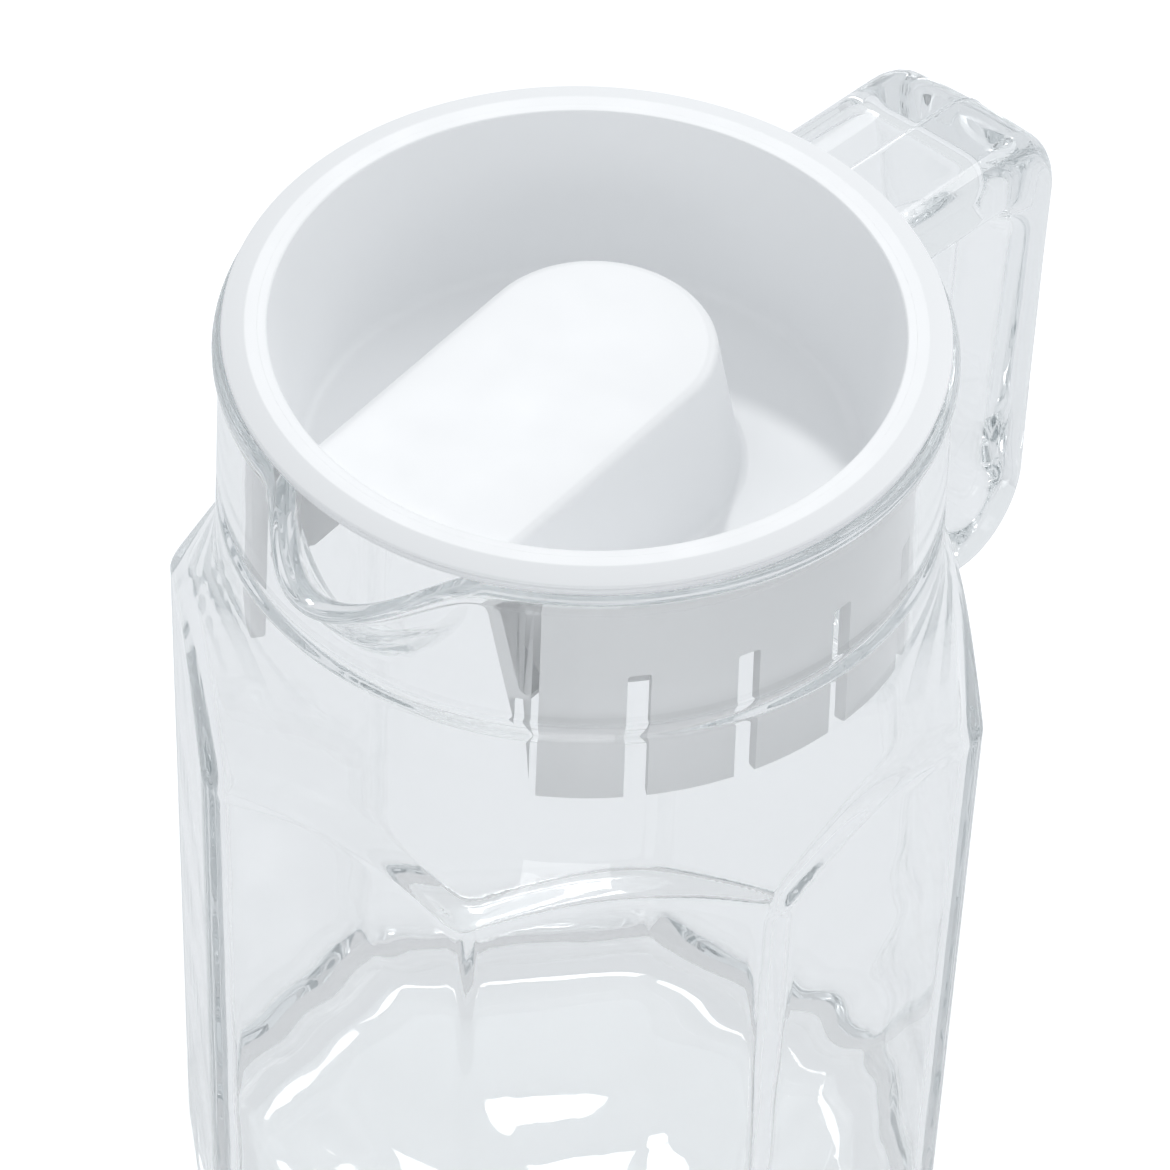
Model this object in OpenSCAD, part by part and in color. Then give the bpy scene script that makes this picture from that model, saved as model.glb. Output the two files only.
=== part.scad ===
// Glass pitcher with a lift-off lid. The jug is eight-sided pressed glass with a round neck, a
// pulled spout and a strap handle. The white plastic lid has a finger recess crossed by a hollow
// grip bar, and a slotted skirt with a pouring window.
// Origin: centre of the base, on the table. +X points to the spout, +Z is up. Millimetres.

/* [Jug body] */
// Height of the glass from the table to the rim
jug_h = 185; // [172:1:200]
// Width across two opposite faces at the top corners of the faces
body_w = 119.4; // [116:0.2:126]
// Height of the shoulder, from the top corners of the faces up to the neck
shoulder_h = 22.8; // [20:0.2:28]
// Lean of each face, narrower towards the base, in degrees
face_draft = 2; // [0.5:0.1:3]
// How much is rounded off each upright corner
edge_ease = 0.4; // [0.1:0.1:0.9]
// Glass thickness at the middle of a face
body_wall = 4.5; // [3.5:0.1:5.5]
// Glass thickness of the base
base_t = 9; // [6:0.5:14]
// Radius between the inner wall and the floor
floor_round = 9; // [5:1:14]
// How much is rounded off each upright corner of the hollow
hollow_ease = 0.9; // [0.3:0.1:2]

/* [Neck] */
// Outer radius of the neck
neck_r = 55.2; // [54.4:0.1:56.6]
// Glass thickness of the neck
neck_wall = 4; // [3.6:0.1:4.6]
// Height of the neck, from the shoulder up to the rim
neck_h = 40.2; // [35:0.2:45]
// How far the rounded rim stands out from the neck
rim_bead = 1; // [0.6:0.1:1.6]
// Radius of the rounded rim
rim_round = 1.9; // [1.5:0.1:2]
// Height of the groove round the neck above the shoulder
groove_rise = 12.2; // [9:0.2:15]
// Radius of the groove's section
groove_round = 3.9; // [2:0.1:5]
// Depth of the groove
groove_depth = 0.9; // [0.3:0.1:1.2]

/* [Spout] */
// How far the lip stands out from the neck
spout_reach = 13; // [10:0.1:15]
// Height of the spout from its root on the neck to the lip
spout_h = 16.3; // [14:0.1:20]
// Half of the angle of the cone that shapes the spout, in degrees
spout_spread = 19.6; // [17:0.2:22]
// Distance from the spout's root down to the point of that cone, inside the jug
spout_run = 50; // [44:1:56]
// How far the lip lies below the rim
lip_drop = 5.3; // [3:0.1:7]
// Glass thickness of the spout
spout_wall = 3.6; // [3:0.1:4]

/* [Handle] */
// Distance from the jug's axis to the handle's outer top corner
handle_reach = 102.6; // [96:0.2:108]
// Width of the strap
handle_w = 30; // [22:0.5:34]
// Distance from the rim down to the top of the upper bar, at the neck
handle_drop = 9; // [6:0.5:11]
// Thickness of the upper bar
upper_t = 14.5; // [11:0.5:16]
// Thickness of the upright grip at its foot
grip_t = 13.6; // [11:0.2:15]
// Thickness of the lower bar
lower_t = 12; // [9:0.5:14]
// Height of the outer bottom corner
handle_low_z = 82; // [74:1:90]
// Fall of the upper bar away from the neck, in degrees
upper_fall = 10; // [4:1:14]
// Fall of the lower bar away from the body, in degrees
lower_fall = 8; // [2:1:12]
// Lean of the upright grip towards the body at its foot, in degrees
grip_lean = 3.4; // [0:0.2:5]
// How much more the grip's inner side leans, in degrees
grip_taper = 1.6; // [0:0.1:2.5]
// Radius of the outer top corner
outer_top_round = 14; // [8:1:18]
// Radius of the outer bottom corner
outer_low_round = 14; // [8:1:16]
// Radius of the two inner corners
inner_round = 7; // [4:1:10]

/* [Lid rim] */
// How far the lid's edge stays inside the glass rim's edge
lid_inset = 1.3; // [0.5:0.1:2]
// Thickness of the rim
lid_rim_t = 3; // [2:0.1:4]
// Width of the slope round the rim's edge
slope_w = 3.5; // [1:0.1:4]
// Height of the slope round the rim's edge
slope_h = 1; // [0.4:0.1:1.6]
// Width of the inner lip, which the rim fits round
lip_w = 1.45; // [1.2:0.05:1.6]

/* [Lid recess] */
// How far the recess's mouth stays inside the skirt's inner wall
recess_inset = 0.8; // [0.4:0.1:2]
// Depth of the recess
recess_d = 28.3; // [24:0.1:32]
// Lean of the recess wall and of the grip bar's sides, in degrees
moulding_draft = 10.5; // [7:0.5:12]
// Plastic thickness of the recess, the grip bar and the skirt
lid_wall = 1.8; // [1.4:0.1:2.2]

/* [Grip bar] */
// Width of the bar at its top
bar_w = 36.4; // [30:0.2:42]
// Distance from the jug's axis to the bar's round end, at its top
bar_end = 20.6; // [19:0.2:26]
// Distance from the top of the lid down to the bar
bar_drop = 4.3; // [3.6:0.1:8]

/* [Skirt] */
// Distance from the rim's underside down to the foot of the skirt
skirt_h = 44.5; // [38:0.5:50]
// Height of the slots
slot_h = 25.5; // [16:0.5:27]
// Width of one slot
slot_w = 3.5; // [2:0.1:5]
// Number of slots from the window round to the handle side
slot_count = 8; // [4:1:9]
// Angle from the middle of the window to the first slot, in degrees
slot_first = 47.4; // [40:0.2:56]
// Half of the angle that the pouring window takes up, in degrees
window_half = 31; // [26:1:34]

/* [Hidden] */
// Number of faces of the body
sides = 8;
// Facets of a full circle in preview, and of the round ends of the grip bar
$fn = 128;
bar_facets = 64;
// Gap between the lid and the glass at the rim, and round the skirt
seat_gap = 0.2;
skirt_gap = 0.6;
// Running fit between the lid's rim and its lip
lip_fit = 0.05;
// How far a cut runs past what it cuts
overrun = 2;
// Steps of one rounded corner
corner_steps = 8;

half_side = 180 / sides;
flare_z = jug_h - neck_h;
corner_z = flare_z - shoulder_h;
face_r = body_w / 2;
corner_r = face_r / cos(half_side);
foot_face_r = face_r - corner_z * tan(face_draft);
foot_corner_r = foot_face_r / cos(half_side);
bore_r = neck_r - neck_wall;
belly_r = face_r - body_wall;
foot_bore_r = foot_face_r - body_wall;
hollow_r = belly_r / cos(half_side) - hollow_ease;
foot_hollow_r = foot_bore_r / cos(half_side) - hollow_ease;
flare_out = corner_r - neck_r;
flare_r = (flare_out * flare_out + shoulder_h * shoulder_h) / (2 * flare_out);
rim_r = neck_r + rim_bead;

spout_lean = atan(spout_reach / spout_h);
spout_tilt = spout_lean - spout_spread;
lip_z = jug_h - lip_drop;
lip_fall = atan(lip_drop / spout_reach);

handle_top_z = jug_h - handle_drop;
outer_top_z = handle_top_z - (handle_reach - neck_r) * tan(upper_fall);
outer_low_r = handle_reach - (outer_top_z - handle_low_z) * tan(grip_lean);
upper_v = upper_t / cos(upper_fall);
lower_v = lower_t / cos(lower_fall);
grip_v = grip_t / cos(grip_lean);

lid_z = jug_h + seat_gap;
lid_r = rim_r - lid_inset;
lid_top_z = lid_z + lid_rim_t;
skirt_r = bore_r - skirt_gap;
skirt_in_r = skirt_r - lid_wall;
recess_r = skirt_in_r - recess_inset;
lip_r = recess_r + lip_w;
skirt_low_z = lid_z - skirt_h;
skirt_top_z = jug_h;
recess_floor_z = lid_top_z - recess_d;
recess_low_z = recess_floor_z - lid_wall;
cup_wall = lid_wall / cos(moulding_draft);
bar_r = bar_w / 2;
bar_top_z = lid_top_z - bar_drop;
bar_center_x = bar_r - bar_end;
slot_step = (180 - slot_first) / (slot_count - 1);

// Height of the line through one point at a slope, at another distance from the axis
function fall_z(r0, z0, fall, r) = z0 - (r - r0) * tan(fall);

// Where a line of one slope through p0 meets the leaning upright through q0
function meet_r(p0, fall, q0, lean) =
    (q0[0] + (p0[1] + p0[0] * tan(fall) - q0[1]) * tan(lean)) / (1 + tan(fall) * tan(lean));

// A corner of an outline as an arc: previous point, corner, next point, radius
function arc_corner(a, b, c, r) =
    let (u = (a - b) / norm(a - b), v = (c - b) / norm(c - b))
    let (half = acos(u * v) / 2, reach = r / tan(half))
    let (mid = (u + v) / norm(u + v), centre = b + mid * r / sin(half))
    let (from = b + u * reach - centre, to = b + v * reach - centre)
    let (turn = 180 - 2 * half, side = sign(from[0] * to[1] - from[1] * to[0]))
    [for (i = [0 : corner_steps])
        let (t = side * turn * i / corner_steps)
        centre + [from[0] * cos(t) - from[1] * sin(t), from[0] * sin(t) + from[1] * cos(t)]];

// Outline of the turned form that the eight faces are cut from
module body_outline() {
    difference() {
        polygon([[0, 0], [foot_corner_r - edge_ease, 0], [corner_r - edge_ease, corner_z],
            [corner_r - edge_ease, flare_z], [neck_r, flare_z], [neck_r, jug_h - rim_round],
            [0, jug_h - rim_round]]);
        translate([neck_r + flare_r, flare_z]) circle(r = flare_r);
        translate([neck_r + groove_round - groove_depth, flare_z + groove_rise]) circle(r = groove_round);
    }
}

module rim_outline() {
    rim_in_r = bore_r + rim_round;
    rim_out_r = rim_r - rim_round;
    for (r = [rim_in_r, rim_out_r]) translate([r, jug_h - rim_round]) circle(r = rim_round);
    translate([rim_in_r, jug_h - 2 * rim_round]) square([rim_out_r - rim_in_r, 2 * rim_round]);
}

// Everything outside the eight tapered faces, which lie inside the glass by a wall
module face_cuts(wall) {
    cut_w = 2 * corner_r;
    for (i = [0 : sides - 1])
        rotate([0, 0, i * 360 / sides]) translate([foot_face_r - wall, 0, 0]) rotate([0, face_draft, 0])
            translate([0, -cut_w / 2, -jug_h]) cube([cut_w, cut_w, 3 * jug_h]);
}

// Leaning cone with its point inside the jug, which meets the neck in a U, drawn in by a wall
module spout_cone(wall) {
    rise = wall / sin(spout_spread);
    length = spout_run + 3 * spout_h;
    translate([neck_r - spout_run * sin(spout_lean), 0, lip_z - spout_h - spout_run * cos(spout_lean)])
        rotate([0, spout_tilt, 0]) translate([0, 0, rise])
            cylinder(h = length, r1 = 0, r2 = length * tan(spout_spread));
}

// Everything below the plane that falls from the rim to the lip
module below_lip() {
    translate([neck_r, 0, jug_h]) rotate([0, lip_fall, 0])
        translate([-2 * neck_r, -neck_r, -jug_h]) cube([4 * neck_r, 2 * neck_r, jug_h]);
}

// The jug without its hollow
module jug_form() {
    difference() {
        rotate_extrude() body_outline();
        face_cuts(0);
    }
    rotate_extrude() rim_outline();
    intersection() {
        spout_cone(0);
        below_lip();
        cylinder(h = jug_h, r = 2 * neck_r);
    }
}

// Outline of the turned form that the hollow's eight faces are cut from
module hollow_outline() {
    floor_mid_r = foot_hollow_r - floor_round;
    floor_mid_z = base_t + floor_round;
    translate([floor_mid_r, floor_mid_z]) circle(r = floor_round);
    translate([0, base_t]) square([floor_mid_r, floor_round]);
    difference() {
        polygon([[0, floor_mid_z], [foot_hollow_r, floor_mid_z], [hollow_r, corner_z],
            [hollow_r, flare_z], [0, flare_z]]);
        translate([neck_r + flare_r, flare_z]) circle(r = flare_r + neck_wall);
    }
}

module glass_body() {
    color("lightcyan", 0.5)
    difference() {
        jug_form();
        difference() {
            rotate_extrude() hollow_outline();
            face_cuts(body_wall);
        }
        translate([0, 0, corner_z]) cylinder(h = jug_h + overrun - corner_z, r = bore_r);
        spout_cone(spout_wall);
    }
}

// Side outline of the handle, with its roots run into the jug
module handle_outline() {
    root_r = bore_r;
    top_z = fall_z(neck_r, handle_top_z, upper_fall, root_r);
    low_z = fall_z(outer_low_r, handle_low_z, lower_fall, root_r);
    grip_in = [outer_low_r - grip_v, handle_low_z];
    upper_in = [root_r, top_z - upper_v];
    lower_in = [root_r, low_z + lower_v];
    top_in_r = meet_r(upper_in, upper_fall, grip_in, grip_lean + grip_taper);
    low_in_r = meet_r(lower_in, lower_fall, grip_in, grip_lean + grip_taper);
    outer_top = [handle_reach, outer_top_z];
    outer_low = [outer_low_r, handle_low_z];
    inner_low = [low_in_r, fall_z(root_r, lower_in[1], lower_fall, low_in_r)];
    inner_top = [top_in_r, fall_z(root_r, upper_in[1], upper_fall, top_in_r)];
    polygon(concat([[root_r, top_z]],
        arc_corner([root_r, top_z], outer_top, outer_low, outer_top_round),
        arc_corner(outer_top, outer_low, [root_r, low_z], outer_low_round),
        [[root_r, low_z], lower_in],
        arc_corner(lower_in, inner_low, inner_top, inner_round),
        arc_corner(inner_low, inner_top, upper_in, inner_round),
        [upper_in]));
}

module glass_handle() {
    color("lightcyan", 0.5)
    difference() {
        rotate([90, 0, 180]) translate([0, 0, -handle_w / 2]) linear_extrude(handle_w) handle_outline();
        jug_form();
    }
}

module lid_rim() {
    color("white")
    rotate_extrude()
        polygon([[lip_r + lip_fit, lid_z], [lid_r, lid_z], [lid_r, lid_top_z - slope_h],
            [lid_r - slope_w, lid_top_z], [lip_r + lip_fit, lid_top_z]]);
}

// Drafted bar with round ends, drawn in by a wall thickness. It runs out past the skirt at +X
module bar_form(wall) {
    top_z = bar_top_z - wall;
    height = top_z - recess_low_z + overrun;
    top_r = bar_r + wall * tan(moulding_draft) - wall / cos(moulding_draft);
    foot_r = top_r + height * tan(moulding_draft);
    hull() for (x = [bar_center_x, 2 * skirt_r])
        translate([x, 0, top_z - height]) cylinder(h = height, r1 = foot_r, r2 = top_r, $fn = bar_facets);
}

module lid_cup() {
    foot_in_r = recess_r - recess_d * tan(moulding_draft);
    foot_out_r = foot_in_r + cup_wall - lid_wall * tan(moulding_draft);
    color("white")
    difference() {
        rotate_extrude() intersection() {
            polygon([[0, recess_low_z], [foot_out_r, recess_low_z], [recess_r + cup_wall, lid_top_z],
                [recess_r, lid_top_z], [foot_in_r, recess_floor_z], [0, recess_floor_z]]);
            union() {
                square([skirt_in_r, lid_top_z]);
                translate([0, skirt_top_z]) square([lip_r, lid_top_z]);
            }
        }
        bar_form(0);
    }
}

module lid_grip() {
    color("white")
    intersection() {
        difference() {
            bar_form(0);
            bar_form(lid_wall);
        }
        translate([0, 0, recess_low_z]) cylinder(h = recess_d + lid_wall, r = skirt_in_r);
    }
}

module slot(turn) {
    rotate([0, 0, turn]) translate([0, -slot_w / 2, skirt_low_z - overrun])
        cube([2 * skirt_r, slot_w, slot_h + overrun]);
}

// Wedge that opens the skirt towards the spout, all the way up
module pouring_window() {
    reach = 2 * skirt_r;
    side = reach * tan(window_half);
    translate([0, 0, skirt_low_z - overrun]) linear_extrude(skirt_h + 2 * overrun)
        polygon([[0, 0], [reach, -side], [reach, side]]);
}

module lid_skirt() {
    color("white")
    difference() {
        translate([0, 0, skirt_low_z]) cylinder(h = skirt_top_z - skirt_low_z, r = skirt_r);
        translate([0, 0, skirt_low_z - overrun]) cylinder(h = skirt_h + 2 * overrun, r = skirt_in_r);
        pouring_window();
        bar_form(lid_wall);
        slot(180);
        for (i = [0 : slot_count - 2]) {
            slot(slot_first + i * slot_step);
            slot(-slot_first - i * slot_step);
        }
    }
}

glass_body();
glass_handle();
lid_rim();
lid_cup();
lid_grip();
lid_skirt();
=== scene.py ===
"""Glass pitcher with a lift-off lid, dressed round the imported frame.

The jug is one piece of pressed glass: an eight-sided body, a flared shoulder, a round neck with a
groove and a beaded rim, a pulled spout and a strap handle. The lid is one white moulding. It turns
in the neck, so the round rim that only lifts is a piece of its own.
Metres. +X points to the spout, -X to the handle, +Z is up.
"""

import logging
import math
from collections.abc import Sequence
from dataclasses import dataclass, field
from enum import Enum

import bmesh
import bpy
import numpy as np
from mathutils import Matrix, Vector


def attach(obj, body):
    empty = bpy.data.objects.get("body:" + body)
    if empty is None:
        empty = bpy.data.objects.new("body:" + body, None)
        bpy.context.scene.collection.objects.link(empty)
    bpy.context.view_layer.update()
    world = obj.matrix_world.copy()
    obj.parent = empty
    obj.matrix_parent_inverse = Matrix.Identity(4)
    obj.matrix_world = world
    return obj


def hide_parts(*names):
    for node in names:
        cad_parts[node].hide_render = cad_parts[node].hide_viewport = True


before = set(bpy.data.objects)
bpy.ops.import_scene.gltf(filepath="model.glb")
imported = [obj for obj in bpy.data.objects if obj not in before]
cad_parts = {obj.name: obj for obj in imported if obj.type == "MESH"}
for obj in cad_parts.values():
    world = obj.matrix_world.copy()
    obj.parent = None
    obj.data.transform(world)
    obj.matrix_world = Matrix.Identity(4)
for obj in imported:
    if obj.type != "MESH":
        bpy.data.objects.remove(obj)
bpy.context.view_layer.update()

LOG = logging.getLogger("glass pitcher")
# A millimetre in metres, and a metre in millimetres
MM = 0.001
METRE = 1000
FULL_TURN = 2 * math.pi
# Millimetres that a cutting solid runs past what it cuts
OVERRUN = 2
WHITE = "FFFFFF"
Profile = list[tuple[float, float]]


class Body(Enum):
    """The bodies of the frame that a piece can ride on."""

    JUG = "jug"
    LIFTING = "lid_lifting"
    TURNING = "lid_turning"


class Slot(Enum):
    """The record's material slots."""

    GLASS = "glass"
    PLASTIC = "lid_plastic"


class Cut(Enum):
    """The ways in which one solid works on another."""

    AWAY = "DIFFERENCE"
    JOIN = "UNION"


def linear(hex_colour: str) -> tuple[float, float, float, float]:
    """Turn an sRGB colour into the linear values that a shader takes.

    Args:
        hex_colour: Six hex digits, red first.

    Returns:
        Red, green, blue and an alpha of one.
    """
    parts = [int(hex_colour[i : i + 2], 16) / 255 for i in (0, 2, 4)]
    values = [c / 12.92 if c <= 0.04045 else ((c + 0.055) / 1.055) ** 2.4 for c in parts]
    return values[0], values[1], values[2], 1.0


def soft_least(a: np.ndarray, b: np.ndarray, blend: float) -> np.ndarray:
    """Take the smaller of two radii, with a rounded change from one to the other.

    Args:
        a: First radii.
        b: Second radii.
        blend: Difference below which the two run into each other.

    Returns:
        The blended radii.
    """
    near = np.maximum(blend - np.abs(a - b), 0) / blend
    return np.minimum(a, b) - near * near * blend / 4


def ease(value: np.ndarray | float) -> np.ndarray | float:
    """Go from nought to one with level ends.

    Args:
        value: How far along, where less than nought or more than one is held there.

    Returns:
        The eased value.
    """
    held = np.clip(value, 0.0, 1.0)
    return held * held * (3 - 2 * held)


def arc(center: tuple[float, float], radius: float, start: float, end: float, steps: int) -> Profile:
    """List the points of an arc.

    Args:
        center: Middle of the arc.
        radius: Its radius.
        start: Angle of the first point, in degrees.
        end: Angle of the last point, in degrees.
        steps: Number of pieces between them.

    Returns:
        The points, both ends included.
    """
    angles = [math.radians(start + (end - start) * i / steps) for i in range(steps + 1)]
    return [(center[0] + radius * math.cos(a), center[1] + radius * math.sin(a)) for a in angles]


def line(start: tuple[float, float], end: tuple[float, float], steps: int) -> Profile:
    """List the points of a straight run.

    Args:
        start: The first point.
        end: The end of the run.
        steps: Number of pieces of the run.

    Returns:
        The points, without the end itself.
    """
    return [
        (start[0] + (end[0] - start[0]) * i / steps, start[1] + (end[1] - start[1]) * i / steps)
        for i in range(steps)
    ]


def levels(stops: Sequence[float], steps: Sequence[float]) -> list[float]:
    """List heights from stop to stop.

    Args:
        stops: The heights at which the step changes.
        steps: The step from each stop to the next one.

    Returns:
        The heights, without the last stop.
    """
    found: list[float] = []
    for i, step in enumerate(steps):
        found += list(np.arange(stops[i], stops[i + 1], step))
    return found


def rounded(points: Profile, radii: Sequence[float], steps: int = 5) -> Profile:
    """Round the corners of a profile.

    Args:
        points: Corners of the profile, in order.
        radii: Radius at each corner, nought to keep it sharp.
        steps: Pieces of each rounded corner.

    Returns:
        The profile with an arc at each rounded corner.
    """
    out: Profile = []
    for i, (here, radius) in enumerate(zip(points, radii, strict=True)):
        if radius == 0:
            out.append(here)
            continue
        corner = Vector(here)
        before = (Vector(points[i - 1]) - corner).normalized()
        after = (Vector(points[(i + 1) % len(points)]) - corner).normalized()
        half = before.angle(after) / 2
        center = corner + (before + after).normalized() * radius / math.sin(half)
        first = corner + before * radius / math.tan(half) - center
        turn = math.pi - 2 * half
        side = 1 if first.x * after.y - first.y * after.x > 0 else -1
        for step in range(steps + 1):
            angle = side * turn * step / steps
            cos, sin = math.cos(angle), math.sin(angle)
            out.append(
                (center.x + first.x * cos - first.y * sin, center.y + first.x * sin + first.y * cos)
            )
    return out


def rest() -> None:
    """Leave edit mode and deselect everything."""
    if bpy.context.mode != "OBJECT":
        bpy.ops.object.mode_set(mode="OBJECT")
    bpy.ops.object.select_all(action="DESELECT")


def pick(piece: bpy.types.Object) -> None:
    """Make one piece the only selected and active one."""
    rest()
    piece.select_set(True)
    bpy.context.view_layer.objects.active = piece


def edit(piece: bpy.types.Object) -> bmesh.types.BMesh:
    """Open a piece in edit mode with all of it selected.

    Args:
        piece: The piece to work on.

    Returns:
        Its mesh as edit mode holds it.
    """
    pick(piece)
    bpy.ops.object.mode_set(mode="EDIT")
    bpy.ops.mesh.select_all(action="SELECT")
    mesh = bmesh.from_edit_mesh(piece.data)
    mesh.verts.ensure_lookup_table()
    return mesh


def places(piece: bpy.types.Object) -> np.ndarray:
    """Read the places of a piece's vertices, one row each."""
    values = np.empty(len(piece.data.vertices) * 3)
    piece.data.vertices.foreach_get("co", values)
    return values.reshape(-1, 3)


def place(piece: bpy.types.Object, rows: np.ndarray) -> None:
    """Move the vertices of a piece to new places, one row each."""
    piece.data.vertices.foreach_set("co", rows.ravel())
    piece.data.update()


def ring_of_points(name: str, points: Sequence[Sequence[float]], filled: bool) -> bpy.types.Object:
    """Start a piece as one closed outline.

    Args:
        name: Name of the piece.
        points: Places of the outline's points, in order.
        filled: True to close it with a face.

    Returns:
        The new piece.
    """
    rest()
    bpy.ops.mesh.primitive_circle_add(
        vertices=len(points), radius=1, fill_type="NGON" if filled else "NOTHING"
    )
    piece = bpy.context.object
    piece.name = piece.data.name = name
    place(piece, np.array(points, float))
    return piece


def turned(name: str, profile: Profile, steps: int, closed: bool) -> bpy.types.Object:
    """Turn a profile round the jug's axis.

    Args:
        name: Name of the piece.
        profile: Distances from the axis and heights, in millimetres.
        steps: Columns of the full turn.
        closed: True for a ring, False for a profile that starts and ends on the axis.

    Returns:
        The turned piece, with its faces outwards.
    """
    piece = ring_of_points(name, [(r * MM, 0, z * MM) for r, z in profile], filled=False)
    mesh = edit(piece)
    if not closed:
        bpy.ops.mesh.select_all(action="DESELECT")
        ends = {0, len(profile) - 1}
        for edge in mesh.edges:
            edge.select_set({v.index for v in edge.verts} == ends)
        bpy.ops.mesh.delete(type="EDGE_FACE")
        bpy.ops.mesh.select_all(action="SELECT")
    bpy.ops.mesh.spin(
        steps=steps, angle=FULL_TURN, center=(0, 0, 0), axis=(0, 0, 1), use_auto_merge=True
    )
    bpy.ops.mesh.select_all(action="SELECT")
    bpy.ops.mesh.remove_doubles(threshold=0.002 * MM)
    bpy.ops.mesh.normals_make_consistent(inside=False)
    rest()
    return piece


def drawn_up(name: str, outline: int, stations: int) -> tuple[bpy.types.Object, np.ndarray]:
    """Draw a round outline up into a closed rod of many stations, to be laid along a path.

    Args:
        name: Name of the piece.
        outline: Points round the outline.
        stations: Number of outlines along the rod.

    Returns:
        The rod, and for each vertex its station and its number round the outline.
    """
    turns = [FULL_TURN * i / outline for i in range(outline)]
    piece = ring_of_points(name, [(math.cos(t), math.sin(t), 0) for t in turns], filled=True)
    edit(piece)
    for _ in range(stations - 1):
        bpy.ops.mesh.extrude_region_move(TRANSFORM_OT_translate={"value": (0, 0, 1)})
    bpy.ops.mesh.select_all(action="SELECT")
    bpy.ops.mesh.normals_make_consistent(inside=False)
    rest()
    rows = places(piece)
    number = np.round(np.arctan2(rows[:, 1], rows[:, 0]) / FULL_TURN * outline).astype(int)
    return piece, np.stack([np.round(rows[:, 2]).astype(int), number % outline], axis=1)


def finish_modifier(piece: bpy.types.Object, name: str) -> None:
    """Apply one modifier of a piece."""
    pick(piece)
    bpy.ops.object.modifier_apply(modifier=name)


def carve(piece: bpy.types.Object, tool: bpy.types.Object, way: Cut) -> None:
    """Work on one solid with another, which is used up.

    Args:
        piece: The solid that stays.
        tool: The solid that shapes it.
        way: How it shapes it.
    """
    cut = piece.modifiers.new("shape", "BOOLEAN")
    cut.operation = way.value
    cut.solver = "MANIFOLD"
    cut.object = tool
    finish_modifier(piece, cut.name)
    bpy.data.objects.remove(tool)


def outwards(piece: bpy.types.Object) -> None:
    """Turn every face of a piece outwards."""
    edit(piece)
    bpy.ops.mesh.normals_make_consistent(inside=False)
    rest()


def smooth(piece: bpy.types.Object, degrees: float) -> None:
    """Shade a piece smooth, with a crease wherever it turns more sharply than the angle."""
    pick(piece)
    bpy.ops.object.shade_smooth_by_angle(angle=math.radians(degrees))


def tell(piece: bpy.types.Object) -> None:
    """Report a finished piece."""
    LOG.info("%s: %d faces", piece.name, len(piece.data.polygons))


def node(
    tree: bpy.types.NodeTree, kind: str, settings: dict | None = None, **inputs: object
) -> bpy.types.Node:
    """Add a node to a material with its settings and links.

    Args:
        tree: The material's nodes.
        kind: The node's type.
        settings: Settings of the node itself.
        **inputs: Values or source sockets by the input's name, with _ for a space. A name that
            ends in a number is the input at that place.

    Returns:
        The new node.
    """
    new = tree.nodes.new(kind)
    for name, value in (settings or {}).items():
        setattr(new, name, value)
    for name, value in inputs.items():
        last = name.rsplit("_", 1)[-1]
        socket = new.inputs[int(last)] if last.isdigit() else new.inputs[name.replace("_", " ")]
        if isinstance(value, bpy.types.NodeSocket):
            tree.links.new(value, socket)
        else:
            socket.default_value = value
    return new


def blank_material(name: str) -> tuple[bpy.types.Material, bpy.types.NodeTree]:
    """Start a material without nodes.

    Args:
        name: Name of the material.

    Returns:
        The material and its empty node tree.
    """
    made = bpy.data.materials.new(name)
    made.use_nodes = True
    made.node_tree.nodes.clear()
    return made, made.node_tree


def noise(tree: bpy.types.NodeTree, size: float, **inputs: float) -> bpy.types.NodeSocket:
    """Add a cloudy pattern that lies still in the piece.

    Args:
        tree: The material's nodes.
        size: Size of its features in millimetres.
        **inputs: Further values of the pattern.

    Returns:
        The pattern's grey value.
    """
    coordinates = node(tree, "ShaderNodeTexCoord")
    place_in_piece = coordinates.outputs["Object"]
    new = node(tree, "ShaderNodeTexNoise", Vector=place_in_piece, Scale=METRE / size, **inputs)
    return new.outputs["Fac"]


def bumped(
    tree: bpy.types.NodeTree, height: bpy.types.NodeSocket, depth: float
) -> bpy.types.NodeSocket:
    """Add an unevenness of the surface.

    Args:
        tree: The material's nodes.
        height: The pattern of the unevenness.
        depth: Its depth in millimetres.

    Returns:
        The uneven surface's direction.
    """
    bump = node(tree, "ShaderNodeBump", Height=height, Strength=1.0, Distance=depth * MM)
    return bump.outputs["Normal"]


def after_glass(
    tree: bpy.types.NodeTree, path: bpy.types.Node, plain: bpy.types.Node, other: bpy.types.Node
) -> bpy.types.Node:
    """Show one shader to plain rays and another to rays that came by glass or gloss.

    Args:
        tree: The nodes to add to.
        path: The light path node.
        plain: Shader for all other rays.
        other: Shader for rays that a gloss sent back or a glass let through.

    Returns:
        The mixed shader.
    """
    seen = node(
        tree,
        "ShaderNodeMath",
        {"operation": "MAXIMUM"},
        input_0=path.outputs["Is Glossy Ray"],
        input_1=path.outputs["Is Transmission Ray"],
    )
    return mixed(tree, seen.outputs[0], plain, other)


def mixed(
    tree: bpy.types.NodeTree,
    share: bpy.types.NodeSocket,
    first: bpy.types.Node,
    second: bpy.types.Node,
) -> bpy.types.Node:
    """Mix two shaders.

    Args:
        tree: The nodes to add to.
        share: Share of the second shader.
        first: The first shader.
        second: The second shader.

    Returns:
        The mixed shader.
    """
    return node(
        tree,
        "ShaderNodeMixShader",
        input_0=share,
        input_1=first.outputs[0],
        input_2=second.outputs[0],
    )


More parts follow.
